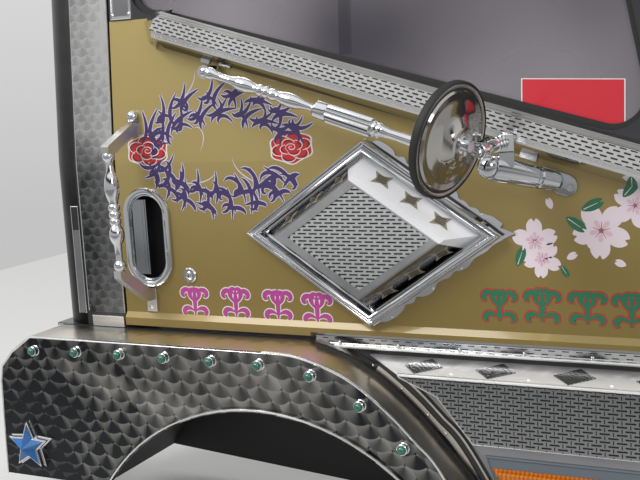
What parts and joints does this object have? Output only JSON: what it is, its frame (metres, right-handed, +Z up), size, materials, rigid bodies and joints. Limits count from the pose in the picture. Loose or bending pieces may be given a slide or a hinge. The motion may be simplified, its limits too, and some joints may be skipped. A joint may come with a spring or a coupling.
{
  "type": "truck cab side with door",
  "caption": "Right-hand side of a decorated truck cab: hinged door with grab handle, brace bar, round mirror and raised diamond, in its frame with arch panel and step.",
  "frame": {"origin": "the middle of the four bolt holes in the sill's inboard face, where the cab floor is bolted on", "axes": "+X towards the front of the truck, +Y inboard, +Z up"},
  "size_m": [1.475, 0.5775, 1.736],
  "materials": {
    "gold_paint": "metallic",
    "dark_paint": "satin",
    "grey_paint": "satin",
    "polished_steel": "mirror polish",
    "turned_steel": "engine turned",
    "mesh_steel": "perforated, polished",
    "plain_steel": "satin",
    "black_rubber": "matt",
    "dark_plastic": "grained",
    "smoked_glass": "clear",
    "mirror_face": "mirror",
    "green_lens": "clear lens",
    "amber_lens": "clear lens",
    "blue_enamel": "gloss"
  },
  "bodies": {
    "cab_side": {"rear_post": "dark_paint", "corner_panel": "dark_paint", "front_post": "gold_paint", "cant_rail": "gold_paint", "sill_rail": "dark_paint", "pillar_trim": "turned_steel", "pillar_foot": "polished_steel", "scuff_strip": "turned_steel", "arch_panel": "turned_steel", "arch_ledge": "polished_steel", "ledge_piping": "black_rubber", "arch_liner": "dark_plastic", "lamp_bases": "polished_steel", "lamp_domes": "green_lens", "star_badge": "blue_enamel", "step_tread": "polished_steel", "step_riser": "mesh_steel", "step_end": "dark_paint", "bumper_side": "grey_paint", "side_lamp": "amber_lens", "door_striker": "plain_steel", "hinge_post": "plain_steel"},
    "door": {"door_shell": "gold_paint", "window_frame": "dark_paint", "window_seal": "black_rubber", "door_glass": "smoked_glass", "window_bar": "dark_paint", "corner_plate": "polished_steel", "sill_trim": "polished_steel", "sill_trim_screen": "mesh_steel", "diamond_plate": "polished_steel", "diamond_frame": "polished_steel", "diamond_box": "polished_steel", "diamond_screen": "mesh_steel", "handle_bezel": "polished_steel", "handle_paddle": "polished_steel", "key_lock": "plain_steel", "grab_handle": "polished_steel", "belt_pipe": "polished_steel", "mirror_bracket": "polished_steel", "hinge_door": "plain_steel", "inner_trim": "dark_plastic", "armrest": "dark_plastic", "inner_handle": "dark_plastic"},
    "mirror_arm": {"mirror_arm": "polished_steel"},
    "mirror_head": {"mirror_clamp": "polished_steel", "mirror_back": "polished_steel", "mirror_rim": "black_rubber", "mirror_glass": "mirror_face"}
  },
  "joints": [
    {"name": "door_swing", "type": "hinge", "parent": "cab_side", "child": "door", "pos_m": [0.5705, -0.119, 0.241], "axis": [0, 0, 1], "range_deg": [0, 70]},
    {"name": "mirror_swing", "type": "hinge", "parent": "door", "child": "mirror_arm", "pos_m": [0.2713, -0.186, 0.4022], "axis": [0, 0, 1], "range_deg": [-20, 40]},
    {"name": "mirror_tilt", "type": "hinge", "parent": "mirror_arm", "child": "mirror_head", "pos_m": [0.2577, -0.27921, 0.39544], "axis": [-0.144, -0.987, -0.0715], "range_deg": [-12, 12]}
  ]
}
